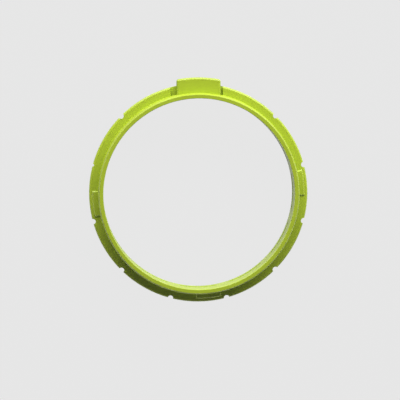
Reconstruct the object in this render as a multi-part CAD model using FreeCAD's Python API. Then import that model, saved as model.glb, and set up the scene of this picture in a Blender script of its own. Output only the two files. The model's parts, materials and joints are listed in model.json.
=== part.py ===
import FreeCAD, Part
import math
import os

# Hub-centric spigot ring with a pull tab, one injection moulding, given as one solid per feature.
# The bore runs through three rings stacked along it: the spigot, the flange and the rear collar.
# Frame: +Z along the bore towards the spigot's tip, +Y towards the pull tab.
# The origin is on the bore's axis, in the plane of the flange's seating face.
# All sizes are in millimetres, all angles in degrees, measured from +X towards +Y.

# Tube that fits over the hub and into the wheel
HUB_BORE_D = 66.6           # bore that slides over the vehicle's hub
SPIGOT_WALL = 1.75          # gives the 70.1 spigot that fits the wheel's centre bore
SPIGOT_HEIGHT = 5.3         # from the seating face to the spigot's tip
REAR_COLLAR_LENGTH = 4.4    # tube left standing behind the flange
REAR_COLLAR_STEP = 0.4      # the tube is this much slimmer there than at the spigot
LEAD_IN_LENGTH = 1.3        # taper on the spigot's tip, along the axis
LEAD_IN_DEPTH = 0.45        # the same taper, across the wall
BORE_EDGE = 0.1             # small bevel where the bore meets the tip
ROOT_TAPER_HEIGHT = 0.7     # the spigot's root swells slightly, clear of the wheel's chamfered bore
ROOT_TAPER_DEPTH = 0.2
REAR_LEAD_IN = 0.5          # bevel that guides the hub into the bore from behind
REAR_EDGE = 0.3             # bevel outside the rear end

# Groove inside the bore, stopped at equal lands
GROOVE_WIDTH = 1.5
GROOVE_DEPTH = 0.4
GROOVE_BEHIND_FLANGE = 0.1  # from the flange's back to the groove
LAND_ARC = 8.0

# Flange
FLANGE_THICKNESS = 2.3
FLANGE_OVERHANG = 3.15      # from the spigot out to the rim
FRONT_EDGE_RADIUS = 0.7
REAR_EDGE_RADIUS = 0.3

# Rim notches share their spacing with the lands in the bore
FEATURE_COUNT = 12
FEATURE_PHASE = 15.0
NOTCH_RADIUS = 1.0
SHALLOW_NOTCH_RADIUS = 0.5
NOTCHES_UNDER_TAB = (2, 3)  # these two places are taken by the slots beside the tab
SHALLOW_NOTCH = 5           # this place has the small notch

# Pull tab and the slots beside it
TAB_WIDTH = 15.35
TAB_OVERHANG = 2.15         # from the flange's rim out to the tab's end
TAB_RISE = 0.6              # tab face above the seating face
TAB_CORNER_RADIUS = 0.9
TAB_EDGE_RADIUS = 0.7
LEFT_SLOT_WIDTH = 2.15
RIGHT_SLOT_WIDTH = 0.75
WEB_THICKNESS = 0.8         # web that closes each slot at the back

# Pads on the seating face, against the spigot
PAD_ARC = 14.2
PAD_START = -1.5
PAD_HEIGHT = 0.45
PAD_BEVEL = 0.4
PAD_INSET = 0.35            # from the flange's edge radius in to the pad
PAD_QUARTERS = {"pad_right": 0, "pad_left": 2, "pad_bottom": 3}  # the tab stands on the fourth place

# Places that follow from the sizes above
BORE_R = HUB_BORE_D / 2
SPIGOT_R = BORE_R + SPIGOT_WALL
COLLAR_R = SPIGOT_R - REAR_COLLAR_STEP
RIM_R = SPIGOT_R + FLANGE_OVERHANG
TAB_END_R = RIM_R + TAB_OVERHANG
PAD_R = RIM_R - FRONT_EDGE_RADIUS - PAD_INSET
TIP_Z = SPIGOT_HEIGHT
FLANGE_BACK_Z = -FLANGE_THICKNESS
REAR_Z = FLANGE_BACK_Z - REAR_COLLAR_LENGTH
TAB_HALF = TAB_WIDTH / 2
FEATURE_STEP = 360.0 / FEATURE_COUNT
FEATURE_ANGLES = [FEATURE_PHASE + FEATURE_STEP * k for k in range(FEATURE_COUNT)]
PAST = 1.0                  # how far a cutting solid runs past what it cuts
TOUCH = 1e-6                # two places this near are the same

ORIGIN = FreeCAD.Vector(0, 0, 0)
UP = FreeCAD.Vector(0, 0, 1)


def at(radius, height):
    """Point of a turned section, in the plane of X and Z."""
    return FreeCAD.Vector(radius, 0, height)


def polar(radius, angle, height=0.0):
    turn = math.radians(angle)
    return FreeCAD.Vector(radius * math.cos(turn), radius * math.sin(turn), height)


def section(corners):
    """Face with straight sides through the corners."""
    return Part.Face(Part.makePolygon(corners + corners[:1]))


def sector(inner, outer, bottom, top, start, arc):
    """Part of a square-sided ring, from the start angle."""
    face = section([at(inner, bottom), at(outer, bottom), at(outer, top), at(inner, top)])
    solid = face.revolve(ORIGIN, UP, arc)
    solid.rotate(ORIGIN, UP, start)
    return solid


def block(left, right, near, far, bottom, top):
    return Part.makeBox(right - left, far - near, top - bottom, FreeCAD.Vector(left, near, bottom))


def edge_arc(centre_r, centre_z, radius, from_angle, to_angle):
    """Quarter round of a turned section."""
    angles = (from_angle, (from_angle + to_angle) / 2, to_angle)
    turns = [math.radians(angle) for angle in angles]
    points = [at(centre_r + radius * math.cos(t), centre_z + radius * math.sin(t)) for t in turns]
    return Part.Arc(*points).toShape()


def rim_ring(top):
    """Ring from the bore to the rim. Its back edge is rounded, and its front edge too at full height."""
    front = FRONT_EDGE_RADIUS if top > FLANGE_BACK_Z + FRONT_EDGE_RADIUS + REAR_EDGE_RADIUS else 0.0
    back_r = RIM_R - REAR_EDGE_RADIUS
    back_z = FLANGE_BACK_Z + REAR_EDGE_RADIUS
    front_r = RIM_R - front
    front_z = top - front
    edges = [
        Part.makeLine(at(BORE_R, top), at(BORE_R, FLANGE_BACK_Z)),
        Part.makeLine(at(BORE_R, FLANGE_BACK_Z), at(back_r, FLANGE_BACK_Z)),
        edge_arc(back_r, back_z, REAR_EDGE_RADIUS, -90, 0),
        Part.makeLine(at(RIM_R, back_z), at(RIM_R, front_z)),
    ]
    if front:
        edges.append(edge_arc(front_r, front_z, front, 0, 90))
    edges.append(Part.makeLine(at(front_r, top), at(BORE_R, top)))
    return Part.Face(Part.Wire(edges)).revolve(ORIGIN, UP, 360)


def spigot():
    """Front of the tube, with the lead-in at its tip and the slight taper at its root."""
    return section([
        at(BORE_R, 0),
        at(SPIGOT_R + ROOT_TAPER_DEPTH, 0),
        at(SPIGOT_R, ROOT_TAPER_HEIGHT),
        at(SPIGOT_R, TIP_Z - LEAD_IN_LENGTH),
        at(SPIGOT_R - LEAD_IN_DEPTH, TIP_Z),
        at(BORE_R + BORE_EDGE, TIP_Z),
        at(BORE_R, TIP_Z - BORE_EDGE),
    ]).revolve(ORIGIN, UP, 360)


def rear_collar():
    """Back of the tube, with its end bevels, and the groove in the bore cut between the lands."""
    tube = section([
        at(COLLAR_R, FLANGE_BACK_Z),
        at(BORE_R, FLANGE_BACK_Z),
        at(BORE_R, REAR_Z + REAR_LEAD_IN),
        at(BORE_R + REAR_LEAD_IN, REAR_Z),
        at(COLLAR_R - REAR_EDGE, REAR_Z),
        at(COLLAR_R, REAR_Z + REAR_EDGE),
    ]).revolve(ORIGIN, UP, 360)
    top = FLANGE_BACK_Z - GROOVE_BEHIND_FLANGE
    grooves = [
        sector(BORE_R - PAST, BORE_R + GROOVE_DEPTH, top - GROOVE_WIDTH, top,
               angle + LAND_ARC / 2, FEATURE_STEP - LAND_ARC)
        for angle in FEATURE_ANGLES
    ]
    return tube.cut(grooves)


def rim_notches():
    """Round cutters through the rim, at every place that the tab leaves free."""
    cutters = []
    for place, angle in enumerate(FEATURE_ANGLES):
        if place in NOTCHES_UNDER_TAB:
            continue
        radius = SHALLOW_NOTCH_RADIUS if place == SHALLOW_NOTCH else NOTCH_RADIUS
        foot = polar(RIM_R, angle, FLANGE_BACK_Z - PAST)
        cutters.append(Part.makeCylinder(radius, FLANGE_THICKNESS + 2 * PAST, foot, UP))
    return cutters


def outside_tube(left, right, far, bottom, top):
    """Block on the tab's side of the ring, kept clear of the tube, which is as slim here as at the collar."""
    tube = Part.makeCylinder(COLLAR_R, top - bottom, at(0, bottom), UP)
    return block(left, right, 0, far, bottom, top).cut(tube)


def stop_flange():
    """Flange, down to the bore, open where the tab and the two slots beside it stand."""
    gap = outside_tube(-TAB_HALF - LEFT_SLOT_WIDTH, TAB_HALF + RIGHT_SLOT_WIDTH,
                       RIM_R + PAST, FLANGE_BACK_Z - PAST, PAST)
    return rim_ring(0.0).cut([gap] + rim_notches())


def relief_web(left, right):
    """Thin web at the back of a slot, from the tube to the rim."""
    slot = outside_tube(left, right, RIM_R + PAST, FLANGE_BACK_Z - PAST, PAST)
    return rim_ring(FLANGE_BACK_Z + WEB_THICKNESS).common(slot)


def upright_corners(solid):
    """The tab's two outer corners, which stand along Z."""
    def stands(edge):
        foot, head = edge.Vertexes[0].Point, edge.Vertexes[-1].Point
        return math.hypot(foot.x - head.x, foot.y - head.y) < TOUCH and math.hypot(foot.x, foot.y) > RIM_R
    return [edge for edge in solid.Edges if stands(edge)]


def outline_at(solid, height):
    """Free edges of a piece at a height, without the one against the tube."""
    def outside(edge):
        level = all(abs(v.Point.z - height) < TOUCH for v in edge.Vertexes)
        middle = edge.valueAt((edge.FirstParameter + edge.LastParameter) / 2)
        return level and math.hypot(middle.x, middle.y) > SPIGOT_R + ROOT_TAPER_DEPTH + TOUCH
    return [edge for edge in solid.Edges if outside(edge)]


def pull_tab():
    """Block that stands on the tube and reaches past the rim, with its end round about the axis."""
    disc = Part.makeCylinder(TAB_END_R, TAB_RISE - FLANGE_BACK_Z, at(0, FLANGE_BACK_Z), UP)
    tab = disc.common(outside_tube(-TAB_HALF, TAB_HALF, TAB_END_R + PAST, FLANGE_BACK_Z, TAB_RISE))
    tab = tab.makeFillet(TAB_CORNER_RADIUS, upright_corners(tab))
    tab = tab.makeFillet(TAB_EDGE_RADIUS, outline_at(tab, TAB_RISE))
    tab = tab.makeFillet(REAR_EDGE_RADIUS, outline_at(tab, FLANGE_BACK_Z))
    return tab.cut(spigot())


def seating_pad(quarter):
    """Low pad on the seating face, bevelled on its three free sides."""
    start = PAD_START + 90.0 * quarter
    pad = sector(SPIGOT_R, PAD_R, 0, PAD_HEIGHT, start, PAD_ARC)
    return pad.makeChamfer(PAD_BEVEL, outline_at(pad, PAD_HEIGHT)).cut(spigot())


def write(node, shape):
    """One STEP file per node, holding its bare solid."""
    solid = shape.Solids[0]
    assert len(shape.Solids) == 1 and solid.isValid(), node
    solid.exportStep("parts/%s.step" % node)


def main():
    os.makedirs("parts", exist_ok=True)
    write("spigot", spigot())
    write("stop_flange", stop_flange())
    write("rear_collar", rear_collar())
    write("pull_tab", pull_tab())
    write("slot_web_left", relief_web(-TAB_HALF - LEFT_SLOT_WIDTH, -TAB_HALF))
    write("slot_web_right", relief_web(TAB_HALF, TAB_HALF + RIGHT_SLOT_WIDTH))
    for node, quarter in PAD_QUARTERS.items():
        write(node, seating_pad(quarter))


main()
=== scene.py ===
import json
import math

import bmesh
import bpy
from mathutils import Matrix, Vector


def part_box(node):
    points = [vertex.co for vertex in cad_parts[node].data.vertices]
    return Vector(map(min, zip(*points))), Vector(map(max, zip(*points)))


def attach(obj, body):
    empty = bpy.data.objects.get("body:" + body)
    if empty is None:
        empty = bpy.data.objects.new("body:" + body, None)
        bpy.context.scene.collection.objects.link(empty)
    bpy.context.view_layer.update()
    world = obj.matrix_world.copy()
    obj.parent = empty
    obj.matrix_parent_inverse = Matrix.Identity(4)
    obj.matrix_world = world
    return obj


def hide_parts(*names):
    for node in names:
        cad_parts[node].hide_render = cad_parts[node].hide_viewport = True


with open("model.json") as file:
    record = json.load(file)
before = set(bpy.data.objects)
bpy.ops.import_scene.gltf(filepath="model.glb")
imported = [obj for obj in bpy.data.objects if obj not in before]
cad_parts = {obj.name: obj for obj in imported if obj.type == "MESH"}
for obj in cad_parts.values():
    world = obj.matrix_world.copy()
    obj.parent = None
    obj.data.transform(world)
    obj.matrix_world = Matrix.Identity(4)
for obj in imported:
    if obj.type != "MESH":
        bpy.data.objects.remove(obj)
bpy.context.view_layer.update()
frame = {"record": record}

MM = 0.001

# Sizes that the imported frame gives, in metres
mounts = {mount["name"]: mount for mount in frame["record"]["mounts"]}
BORE_R = mounts["hub_bore"]["dims"]["r_mm"] * MM
SPIGOT_R = mounts["wheel_spigot"]["dims"]["r_mm"] * MM
COLLAR_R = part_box("rear_collar")[1].x
TIP_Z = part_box("spigot")[1].z
REAR_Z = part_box("rear_collar")[0].z
BACK_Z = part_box("stop_flange")[0].z
RIM_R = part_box("stop_flange")[1].x
TAB_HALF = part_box("pull_tab")[1].x
TAB_END_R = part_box("pull_tab")[1].y
TAB_TOP_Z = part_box("pull_tab")[1].z
SLOT_LEFT_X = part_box("slot_web_left")[0].x
SLOT_RIGHT_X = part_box("slot_web_right")[1].x
WEB_TOP_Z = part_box("slot_web_left")[1].z
PAD_TOP_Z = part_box("pad_right")[1].z
PAD_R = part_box("pad_right")[1].x

# Shape details of the moulding, in metres and degrees
LEAD_IN_LENGTH = 1.3 * MM
LEAD_IN_DEPTH = 0.45 * MM
LEAD_IN_TOP_ROUND = 0.1 * MM
LEAD_IN_FOOT_ROUND = 0.6 * MM
BORE_EDGE = 0.1 * MM
BORE_EDGE_ROUND = 0.05 * MM
ROOT_HEIGHT = 0.7 * MM
ROOT_DEPTH = 0.2 * MM
REAR_LEAD_IN = 0.5 * MM
REAR_EDGE = 0.3 * MM
REAR_ROUND = 0.15 * MM
GROOVE_TOP = 0.1 * MM
GROOVE_WIDTH = 1.5 * MM
GROOVE_DEPTH = 0.4 * MM
GROOVE_FLANK = 0.04 * MM
FEATURE_COUNT = 12
FEATURE_PHASE = 15.0
FEATURE_STEP = 360.0 / FEATURE_COUNT
LAND_ARC = 8.0
LAND_FLANK_ARC = 0.2
RIM_FRONT_ROUND = 0.7 * MM
RIM_BACK_ROUND = 0.3 * MM
NOTCH_R = 1.0 * MM
SHALLOW_NOTCH_R = 0.5 * MM
NOTCH_ANGLES = [FEATURE_PHASE + FEATURE_STEP * k for k in range(4, 14)]
SHALLOW_NOTCH_ANGLE = 165.0
SLOT_EDGE = 0.15 * MM
TAB_CORNER = 0.9 * MM
TAB_EDGE = 0.7 * MM
WEB_EDGE = 0.12 * MM
PAD_ARC = 14.2
PAD_START = -1.5
PAD_BEVEL = 0.4 * MM
PAD_INNER_ROW = 0.6 * MM        # from the tube out to a row of points that keeps the pad's top flat

COLUMN_ARC = 0.5                # spacing of a ring's columns, in degrees
HOLD = 0.015 * MM               # keeps a flat's shading flat beside a rounded edge
CAP_HOLD = 3 * HOLD             # the same, for the tab's two end faces
SHARP_ANGLE = math.radians(32)


# Points and lists of numbers

def polar(radius, angle):
    turn = math.radians(angle)
    return Vector((radius * math.cos(turn), radius * math.sin(turn)))


def angle_of(point):
    return math.degrees(math.atan2(point.y, point.x))


def lift(point, height):
    return Vector((point.x, point.y, height))


def steps(start, end, count):
    """Evenly spaced values, both ends included."""
    return [start + (end - start) * k / count for k in range(count + 1)]


def on_circle(radius, x):
    """Point of a circle about the axis, on the tab's side, at the given x."""
    return Vector((x, math.sqrt(radius * radius - x * x)))


def rounded(corners, count=6):
    """Closed section through corners (r, z, rounding), with an arc of that radius at each corner."""
    points = []
    for k, (r, z, radius) in enumerate(corners):
        here = Vector((r, z))
        if radius <= 0:
            points.append(here)
            continue
        before = (Vector(corners[k - 1][:2]) - here).normalized()
        after = (Vector(corners[(k + 1) % len(corners)][:2]) - here).normalized()
        half = before.angle(after) / 2
        centre = here + (before + after).normalized() * (radius / math.sin(half))
        first = here + before * (radius / math.tan(half)) - centre
        last = here + after * (radius / math.tan(half)) - centre
        turn = math.atan2(first.x * last.y - first.y * last.x, first.dot(last))
        points.append(centre + first + before * HOLD)
        points += [centre + Matrix.Rotation(share, 2) @ first for share in steps(0, turn, count)]
        points.append(centre + last + after * HOLD)
    return points


# Meshes

def finish_mesh(name, bm):
    """Object from a bmesh, smooth-shaded with its sharp edges kept."""
    bmesh.ops.recalc_face_normals(bm, faces=bm.faces[:])
    for face in bm.faces:
        face.smooth = True
    for edge in bm.edges:
        edge.smooth = len(edge.link_faces) == 2 and edge.calc_face_angle(0) < SHARP_ANGLE
    mesh = bpy.data.meshes.new(name)
    bm.to_mesh(mesh)
    bm.free()
    piece = bpy.data.objects.new(name, mesh)
    bpy.context.scene.collection.objects.link(piece)
    return piece


def add_columns(bm, columns):
    return [[bm.verts.new(point) for point in column] for column in columns]


def bridge(bm, left, right, closed):
    """Faces between two columns of vertices, closed round the section or open along it."""
    count = len(left)
    for k in range(count if closed else count - 1):
        after = (k + 1) % count
        bm.faces.new((left[k], right[k], right[after], left[after]))


def ring_mesh(name, section_at, angles):
    """Closed ring, from a section of (r, z) points at each angle."""
    bm = bmesh.new()
    columns = add_columns(bm, [[lift(polar(r, angle), z) for r, z in section_at(angle)] for angle in angles])
    for k, column in enumerate(columns):
        bridge(bm, columns[k - 1], column, True)
    return finish_mesh(name, bm)


def slab_mesh(name, columns):
    """Closed slab: one section of points in each column, capped at both ends."""
    bm = bmesh.new()
    columns = add_columns(bm, columns)
    for left, right in zip(columns, columns[1:]):
        bridge(bm, left, right, True)
    bm.faces.new(columns[0])
    bm.faces.new(columns[-1])
    return finish_mesh(name, bm)


# The tube: spigot in front of the flange, collar behind it

def spigot_section(angle):
    top = rounded([
        (BORE_R, TIP_Z - BORE_EDGE, BORE_EDGE_ROUND),
        (BORE_R + BORE_EDGE, TIP_Z, BORE_EDGE_ROUND),
        (SPIGOT_R - LEAD_IN_DEPTH, TIP_Z, LEAD_IN_TOP_ROUND),
        (SPIGOT_R, TIP_Z - LEAD_IN_LENGTH, LEAD_IN_FOOT_ROUND),
        (SPIGOT_R, ROOT_HEIGHT, 0),
        (BORE_R, ROOT_HEIGHT, 0),
    ])[:-1]
    root = [Vector((SPIGOT_R + ROOT_DEPTH * (1 - share) ** 2, ROOT_HEIGHT * share))
            for share in steps(0.8, 0, 4)]
    return top + root + [Vector((BORE_R, 0))]


def land_angles():
    """Angles of the collar's columns, closer together at the ends of each land."""
    angles = set(steps(0, 360 - COLUMN_ARC, int(360 / COLUMN_ARC) - 1))
    for k in range(FEATURE_COUNT):
        for side in (-1, 1):
            end = FEATURE_PHASE + FEATURE_STEP * k + side * LAND_ARC / 2
            angles -= {angle for angle in angles if abs(angle - end) < LAND_FLANK_ARC * 1.5}
            angles.update(end + LAND_FLANK_ARC * share for share in (-0.5, 0, 0.5))
    return sorted(angles)


def groove_depth(angle):
    """Depth of the bore's groove: none on the lands, with steep ends."""
    from_middle = (angle - FEATURE_PHASE + FEATURE_STEP / 2) % FEATURE_STEP - FEATURE_STEP / 2
    from_land = abs(from_middle) - LAND_ARC / 2
    return GROOVE_DEPTH * min(1.0, max(0.0, from_land / LAND_FLANK_ARC + 0.5))


def collar_section(angle):
    depth = groove_depth(angle)
    top = BACK_Z - GROOVE_TOP
    outside = rounded([
        (BORE_R, REAR_Z + REAR_LEAD_IN, REAR_ROUND),
        (BORE_R + REAR_LEAD_IN, REAR_Z, REAR_ROUND),
        (COLLAR_R - REAR_EDGE, REAR_Z, REAR_ROUND),
        (COLLAR_R, REAR_Z + REAR_EDGE, REAR_ROUND),
        (COLLAR_R, BACK_Z, 0),
        (BORE_R, BACK_Z, 0),
    ])
    groove = [(BORE_R, top), (BORE_R + depth, top - GROOVE_FLANK),
              (BORE_R + depth, top - GROOVE_WIDTH + GROOVE_FLANK), (BORE_R, top - GROOVE_WIDTH)]
    return outside + [Vector(point) for point in groove]


def full_circle():
    return steps(0, 360 - COLUMN_ARC, int(360 / COLUMN_ARC) - 1)


spigot = ring_mesh("spigot_wall", spigot_section, full_circle())
collar = ring_mesh("rear_collar_wall", collar_section, land_angles())


# The flange: a plate from the bore to the rim, open at the tab

def round_drop(inset, radius):
    """How far a rounded edge has dropped, this far in from the side."""
    inset = min(max(inset, 0.0), radius)
    return radius - math.sqrt(max(0.0, radius * radius - (radius - inset) ** 2))


def edge_insets(radius, count=6):
    """Insets that spread evenly along a rounded edge, from its side to its flat."""
    return [radius * (1 - math.cos(turn)) for turn in steps(0, math.pi / 2, count)]


def rim_outline():
    """Outer points of the flange, from the left slot round to the right one."""
    first = angle_of(on_circle(RIM_R, SLOT_LEFT_X - SLOT_EDGE))
    last = angle_of(on_circle(RIM_R, SLOT_RIGHT_X + SLOT_EDGE)) + 360
    count = int((last - first) / COLUMN_ARC)
    outline = [(angle, polar(RIM_R, angle)) for angle in steps(first, last, count)[1:-1]]
    for notch in NOTCH_ANGLES:
        radius = SHALLOW_NOTCH_R if notch == SHALLOW_NOTCH_ANGLE else NOTCH_R
        half = 2 * math.degrees(math.asin(radius / (2 * RIM_R)))
        outline = [item for item in outline if abs(item[0] - notch) > half * 1.12]
        centre = polar(RIM_R, notch)
        side = 90 - half / 2
        for turn in steps(-side, side, 18):
            point = centre + polar(radius, notch + 180 - turn)
            outline.append((notch + ((angle_of(point) - notch + 180) % 360 - 180), point))
    return [point for angle, point in sorted(outline, key=lambda item: item[0])]


def plate_section(inner, outer, front_drop=0.0):
    """Flange section from the tube out to the rim and back: flat, front round, wall, back round."""
    reach = outer.length
    flat = RIM_R - RIM_FRONT_ROUND - COLLAR_R
    past_flat = min(1.0, max(0.0, (reach - COLLAR_R - flat) / RIM_FRONT_ROUND))
    run = flat + RIM_FRONT_ROUND * math.asin(past_flat) if past_flat > 0 else reach - COLLAR_R
    front = []
    for share in (0, 0.25, 0.45, 0.58, 0.66, 0.69, 0.73, 0.77, 0.81, 0.85, 0.89, 0.93, 0.97, 1.0):
        along = run * share
        if along > flat:
            turn = (along - flat) / RIM_FRONT_ROUND
            radius = flat + RIM_FRONT_ROUND * math.sin(turn)
            drop = RIM_FRONT_ROUND * (1 - math.cos(turn))
        else:
            radius, drop = along, 0.0
        front.append((radius / (reach - COLLAR_R), -max(drop, front_drop)))
    back = []
    for share in (0, 0.25, 0.5, 0.75, 1.0):
        radius = (reach - COLLAR_R) - RIM_BACK_ROUND * share
        inset = RIM_R - COLLAR_R - radius
        rise = max(round_drop(inset, RIM_BACK_ROUND), front_drop)
        back.append((radius / (reach - COLLAR_R), BACK_Z + rise))
    back.append((0.0, BACK_Z + front_drop))
    span = outer - inner
    return [lift(inner + span * share, z) for share, z in front + back]


def flange_mesh(name):
    """The flange: its plate, its foot in the tube's wall, and the bare wall across the tab's gap."""
    outline = rim_outline()
    first_inner = on_circle(COLLAR_R, SLOT_LEFT_X - SLOT_EDGE)
    last_inner = on_circle(COLLAR_R, SLOT_RIGHT_X + SLOT_EDGE)
    rim_from = angle_of(on_circle(RIM_R, SLOT_LEFT_X - SLOT_EDGE))
    rim_to = angle_of(on_circle(RIM_R, SLOT_RIGHT_X + SLOT_EDGE)) + 360
    tube_from, tube_to = angle_of(first_inner), angle_of(last_inner) + 360
    plate = []
    for inset in edge_insets(SLOT_EDGE, 4):
        x = SLOT_LEFT_X - inset
        drop = round_drop(inset, SLOT_EDGE)
        plate.append(plate_section(on_circle(COLLAR_R, x), on_circle(RIM_R, x), drop))
    for outer in outline:
        angle = rim_from + (angle_of(outer) - rim_from) % 360
        share = (angle - rim_from) / (rim_to - rim_from)
        plate.append(plate_section(polar(COLLAR_R, tube_from + (tube_to - tube_from) * share), outer))
    for inset in reversed(edge_insets(SLOT_EDGE, 4)):
        x = SLOT_RIGHT_X + inset
        drop = round_drop(inset, SLOT_EDGE)
        plate.append(plate_section(on_circle(COLLAR_R, x), on_circle(RIM_R, x), drop))

    bm = bmesh.new()
    inner = []
    for section in plate:
        angle = angle_of(section[0])
        inner.append([Vector((*polar(COLLAR_R, angle), 0)), Vector((*polar(BORE_R, angle), 0)),
                      Vector((*polar(BORE_R, angle), BACK_Z)), Vector((*polar(COLLAR_R, angle), BACK_Z))])
    plate_columns = add_columns(bm, plate)
    inner_columns = []
    for k, points in enumerate(inner):
        foot = plate_columns[k]
        front = foot[0] if (foot[0].co - points[0]).length < 1e-9 else bm.verts.new(points[0])
        back = foot[-1] if (foot[-1].co - points[3]).length < 1e-9 else bm.verts.new(points[3])
        inner_columns.append([front, bm.verts.new(points[1]), bm.verts.new(points[2]), back])
    for k in range(len(plate) - 1):
        bridge(bm, plate_columns[k], plate_columns[k + 1], False)
        bridge(bm, inner_columns[k], inner_columns[k + 1], False)
        for end in (0, -1):
            quad = [plate_columns[k][end], plate_columns[k + 1][end],
                    inner_columns[k + 1][end], inner_columns[k][end]]
            corners = list(dict.fromkeys(quad))
            if len(corners) > 2:
                bm.faces.new(corners)
    start, stop = angle_of(inner[-1][0]), angle_of(inner[0][0])
    previous = inner_columns[-1]
    for angle in steps(start, stop, 64)[1:-1]:
        column = [bm.verts.new(lift(polar(r, angle), z)) for r, z in
                  ((COLLAR_R, 0), (BORE_R, 0), (BORE_R, BACK_Z), (COLLAR_R, BACK_Z))]
        bridge(bm, previous, column, True)
        previous = column
    bridge(bm, previous, inner_columns[0], True)
    for k in (0, -1):
        cap = list(plate_columns[k])
        if inner_columns[k][3] is not cap[-1]:
            cap.append(inner_columns[k][3])
        if inner_columns[k][0] is not cap[0]:
            cap.append(inner_columns[k][0])
        bm.faces.new(cap)
    return finish_mesh(name, bm)


flange = flange_mesh("flange_plate")


# The tab and the webs beside it

def tab_outline(offset, tube_r):
    """The tab's outline, moved in from its sides and its end, but not from the tube."""
    corner = on_circle(TAB_END_R - TAB_CORNER, TAB_HALF - TAB_CORNER)
    lean = angle_of(corner)
    half, radius = TAB_HALF - offset, TAB_CORNER - offset
    foot = on_circle(tube_r, half)
    shoulder = corner + Vector((radius, 0))
    right = [foot.lerp(shoulder, share) for share in steps(0, 1, 6)[:-1]]
    right += [corner + polar(radius, turn) for turn in steps(0, lean, 10)]
    end = [polar(TAB_END_R - offset, turn) for turn in steps(lean, 180 - lean, 40)[1:-1]]
    left = [Vector((-point.x, point.y)) for point in reversed(right)]
    tube = [polar(tube_r, turn) for turn in steps(180 - angle_of(foot), angle_of(foot), 40)[1:-1]]
    return right + end + left + tube


def tab_mesh(name):
    layers = [(RIM_BACK_ROUND + CAP_HOLD, COLLAR_R + CAP_HOLD, BACK_Z)]
    layers += [(inset, COLLAR_R, BACK_Z + round_drop(inset, RIM_BACK_ROUND))
               for inset in reversed(edge_insets(RIM_BACK_ROUND, 5))]
    layers += [(0.0, COLLAR_R, BACK_Z + RIM_BACK_ROUND + HOLD), (0.0, COLLAR_R, 0.0), (0.0, SPIGOT_R, 0.0)]
    layers += [(inset, SPIGOT_R, TAB_TOP_Z - round_drop(inset, TAB_EDGE))
               for inset in edge_insets(TAB_EDGE, 10)]
    layers += [(TAB_EDGE + CAP_HOLD, SPIGOT_R + CAP_HOLD, TAB_TOP_Z)]
    bm = bmesh.new()
    rows = add_columns(bm, [[lift(point, z) for point in tab_outline(offset, tube_r)]
                            for offset, tube_r, z in layers])
    for lower, upper in zip(rows, rows[1:]):
        bridge(bm, lower, upper, True)
    bm.faces.new(rows[0])
    bm.faces.new(rows[-1])
    return finish_mesh(name, bm)


def web_mesh(name, left, right):
    """Thin web at the back of a slot, from x left to x right."""
    reach = RIM_R - COLLAR_R
    section = [(0.0, WEB_TOP_Z)]
    section += [(reach - inset, WEB_TOP_Z - round_drop(inset, WEB_EDGE))
                for inset in reversed(edge_insets(WEB_EDGE))]
    section += [(reach - inset, BACK_Z + round_drop(inset, RIM_BACK_ROUND))
                for inset in edge_insets(RIM_BACK_ROUND)]
    section += [(0.0, BACK_Z)]
    columns = []
    for x in steps(left, right, 12):
        inner, outer = on_circle(COLLAR_R, x), on_circle(RIM_R, x)
        columns.append([lift(inner.lerp(outer, r / reach), z) for r, z in section])
    return slab_mesh(name, columns)


tab = tab_mesh("tab_block")
web_left = web_mesh("web_left", SLOT_LEFT_X, -TAB_HALF)
web_right = web_mesh("web_right", TAB_HALF, SLOT_RIGHT_X)


# The pads on the seating face

def pad_height(from_edge):
    """Height of a pad's top, this far in from its nearest free side."""
    share = min(1.0, from_edge / PAD_BEVEL)
    return PAD_TOP_Z - PAD_BEVEL * (1 - share)


def pad_mesh(name, quarter):
    start = PAD_START + 90.0 * quarter
    reach = math.degrees(PAD_BEVEL / PAD_R)
    ends = [reach * share for share in steps(0, 1, 4)]
    middle = steps(reach, PAD_ARC - reach, 32)[1:-1]
    columns = []
    for turn in ends + middle + [PAD_ARC - end for end in reversed(ends)]:
        from_end = math.radians(min(turn, PAD_ARC - turn)) * PAD_R
        section = [(SPIGOT_R, 0.0), (SPIGOT_R, pad_height(from_end))]
        for inset in [PAD_R - SPIGOT_R - PAD_INNER_ROW] + steps(PAD_BEVEL, 0, 4):
            section.append((PAD_R - inset, pad_height(min(from_end, inset))))
        section.append((PAD_R, 0.0))
        columns.append([lift(polar(r, start + turn), z) for r, z in section])
    return slab_mesh(name, columns)


pad_right = pad_mesh("pad_right_block", 0)
pad_left = pad_mesh("pad_left_block", 2)
pad_bottom = pad_mesh("pad_bottom_block", 3)


# Moulded plastic

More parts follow.
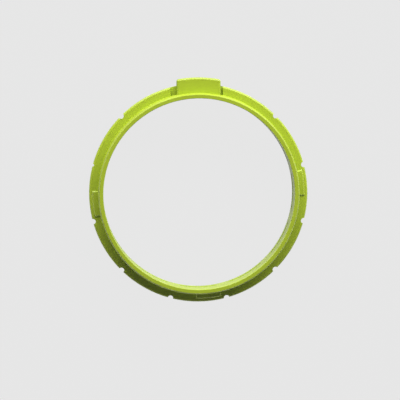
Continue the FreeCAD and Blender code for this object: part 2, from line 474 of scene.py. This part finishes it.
def moulded_plastic(name):
    material = bpy.data.materials.new(name)
    material.use_nodes = True
    nodes, links = material.node_tree.nodes, material.node_tree.links
    shader = nodes["Principled BSDF"]
    shader.inputs["IOR"].default_value = 1.5
    place = nodes.new("ShaderNodeTexCoord")

    def noise(scale, detail, roughness):
        node = nodes.new("ShaderNodeTexNoise")
        node.inputs["Scale"].default_value = scale
        node.inputs["Detail"].default_value = detail
        node.inputs["Roughness"].default_value = roughness
        links.new(place.outputs["Object"], node.inputs["Vector"])
        return node.outputs["Fac"]

    def ramp(value, stops):
        node = nodes.new("ShaderNodeValToRGB")
        node.color_ramp.elements[0].position, node.color_ramp.elements[0].color = stops[0]
        node.color_ramp.elements[1].position, node.color_ramp.elements[1].color = stops[1]
        links.new(value, node.inputs["Fac"])
        return node.outputs["Color"]

    def spread(value, low, high):
        node = nodes.new("ShaderNodeMapRange")
        node.inputs["To Min"].default_value = low
        node.inputs["To Max"].default_value = high
        links.new(value, node.inputs["Value"])
        return node.outputs["Result"]

    lime = ramp(noise(90, 3, 0.55), [(0.3, (0.362, 0.466, 0.020, 1)), (0.7, (0.388, 0.498, 0.024, 1))])
    links.new(lime, shader.inputs["Base Color"])
    links.new(spread(noise(900, 3, 0.5), 0.32, 0.42), shader.inputs["Roughness"])
    grain = nodes.new("ShaderNodeBump")
    grain.inputs["Strength"].default_value = 0.08
    grain.inputs["Distance"].default_value = 0.004 * MM
    links.new(noise(3500, 2, 0.5), grain.inputs["Height"])
    links.new(grain.outputs["Normal"], shader.inputs["Normal"])
    return material


plastic = moulded_plastic("lime_moulded_plastic")

for piece, node in (
    (spigot, "spigot"), (collar, "rear_collar"), (flange, "stop_flange"), (tab, "pull_tab"),
    (web_left, "slot_web_left"), (web_right, "slot_web_right"),
    (pad_right, "pad_right"), (pad_left, "pad_left"), (pad_bottom, "pad_bottom"),
):
    piece.data.materials.append(plastic)
    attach(piece, "root")
    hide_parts(node)


# Floor, light and camera

FLOOR_HALF = 3.0
FLOOR_GAP = 0.015 * MM          # keeps the floor out of the ring's rear face
FLOOR_COLOR = (0.25, 0.25, 0.25, 1)
FLOOR_GLOW = (0.812, 0.812, 0.812, 1)
BACKGROUND_SEEN = (0.79, 0.79, 0.79, 1)
HORIZON_TOP = 0.07              # sine of the height up to which the world is bright
HORIZON_LIGHT = 12.0
SKY_LIGHT = 0.004
CAMERA_TILT, CAMERA_AZIMUTH, CAMERA_DISTANCE = 5.8, 122.5, 0.80
CAMERA_LENS, CAMERA_SENSOR = 206.1, 36
CAMERA_AIM = Vector((0.49 * MM, -2.39 * MM, 0))


def maths(nodes, links, operation, first, second):
    """Maths node on an output and either another output or a number."""
    node = nodes.new("ShaderNodeMath")
    node.operation = operation
    links.new(first, node.inputs[0])
    if isinstance(second, float):
        node.inputs[1].default_value = second
    else:
        links.new(second, node.inputs[1])
    return node.outputs[0]


def seen_instead(nodes, links, lit, seen, share, target):
    """Show the camera, reflections and see-through surfaces this share of seen, and light only lit."""
    rays = nodes.new("ShaderNodeLightPath")
    total = rays.outputs["Is Camera Ray"]
    for ray in ("Is Glossy Ray", "Is Transmission Ray"):
        total = maths(nodes, links, "ADD", total, rays.outputs[ray])
    total = maths(nodes, links, "MULTIPLY", total, share)
    total.node.use_clamp = True
    mix = nodes.new("ShaderNodeMixShader")
    links.new(total, mix.inputs["Fac"])
    links.new(lit.outputs[0], mix.inputs[1])
    links.new(seen.outputs[0], mix.inputs[2])
    links.new(mix.outputs[0], nodes[target].inputs["Surface"])


def floor_material():
    material = bpy.data.materials.new("pale_floor")
    material.use_nodes = True
    nodes, links = material.node_tree.nodes, material.node_tree.links
    shader = nodes["Principled BSDF"]
    shader.inputs["Base Color"].default_value = FLOOR_COLOR
    shader.inputs["Roughness"].default_value = 0.9
    glow = nodes.new("ShaderNodeEmission")
    glow.inputs["Color"].default_value = FLOOR_GLOW
    seen_instead(nodes, links, shader, glow, 0.97, "Material Output")
    return material


bm = bmesh.new()
bmesh.ops.create_grid(bm, x_segments=1, y_segments=1, size=FLOOR_HALF)
mesh = bpy.data.meshes.new("floor")
bm.to_mesh(mesh)
bm.free()
floor = bpy.data.objects.new("floor", mesh)
floor.location.z = REAR_Z - FLOOR_GAP
floor.data.materials.append(floor_material())
bpy.context.scene.collection.objects.link(floor)


def aimed(direction, up):
    """Rotation that looks along minus the direction, with the given way up."""
    back = direction.normalized()
    right = up.cross(back).normalized()
    return Matrix((right, back.cross(right), back)).transposed().to_4x4()


def towards(azimuth, elevation):
    flat = polar(math.cos(math.radians(elevation)), azimuth)
    return Vector((flat.x, flat.y, math.sin(math.radians(elevation))))


def area_light(name, azimuth, elevation, distance, width, height, energy):
    data = bpy.data.lights.new(name, "AREA")
    data.shape = "RECTANGLE"
    data.size = width
    data.size_y = height
    data.energy = energy
    lamp = bpy.data.objects.new(name, data)
    way = towards(azimuth, elevation)
    lamp.matrix_world = Matrix.Translation(way * distance) @ aimed(way, Vector((0, 0, 1)))
    bpy.context.scene.collection.objects.link(lamp)


area_light("key", azimuth=80, elevation=28, distance=1.2, width=2.2, height=0.34, energy=37.0)

# The world lights from a narrow band above the horizon, and from almost nothing higher up or below
world = bpy.data.worlds.new("studio")
world.use_nodes = True
nodes, links = world.node_tree.nodes, world.node_tree.links
way = nodes.new("ShaderNodeSeparateXYZ")
links.new(nodes.new("ShaderNodeTexCoord").outputs["Generated"], way.inputs[0])
level = nodes.new("ShaderNodeMapRange")
level.inputs["From Min"].default_value = 0.0
level.inputs["From Max"].default_value = HORIZON_TOP
level.inputs["To Min"].default_value = HORIZON_LIGHT
level.inputs["To Max"].default_value = SKY_LIGHT
links.new(way.outputs["Z"], level.inputs["Value"])
above = maths(nodes, links, "GREATER_THAN", way.outputs["Z"], 0.0)
strength = maths(nodes, links, "MULTIPLY", level.outputs["Result"], above)
lit = nodes["Background"]
lit.inputs["Color"].default_value = (1, 1, 1, 1)
links.new(strength, lit.inputs["Strength"])
pale = nodes.new("ShaderNodeBackground")
pale.inputs["Color"].default_value = BACKGROUND_SEEN
seen_instead(nodes, links, lit, pale, 1.0, "World Output")
bpy.context.scene.world = world

camera_data = bpy.data.cameras.new("camera")
camera_data.sensor_width = CAMERA_SENSOR
camera_data.lens = CAMERA_LENS
camera = bpy.data.objects.new("camera", camera_data)
way = towards(CAMERA_AZIMUTH, 90 - CAMERA_TILT)
camera.matrix_world = Matrix.Translation(CAMERA_AIM + way * CAMERA_DISTANCE) @ aimed(way, Vector((0, 1, 0)))
bpy.context.scene.collection.objects.link(camera)
bpy.context.scene.camera = camera

bpy.context.scene.view_settings.view_transform = "Standard"
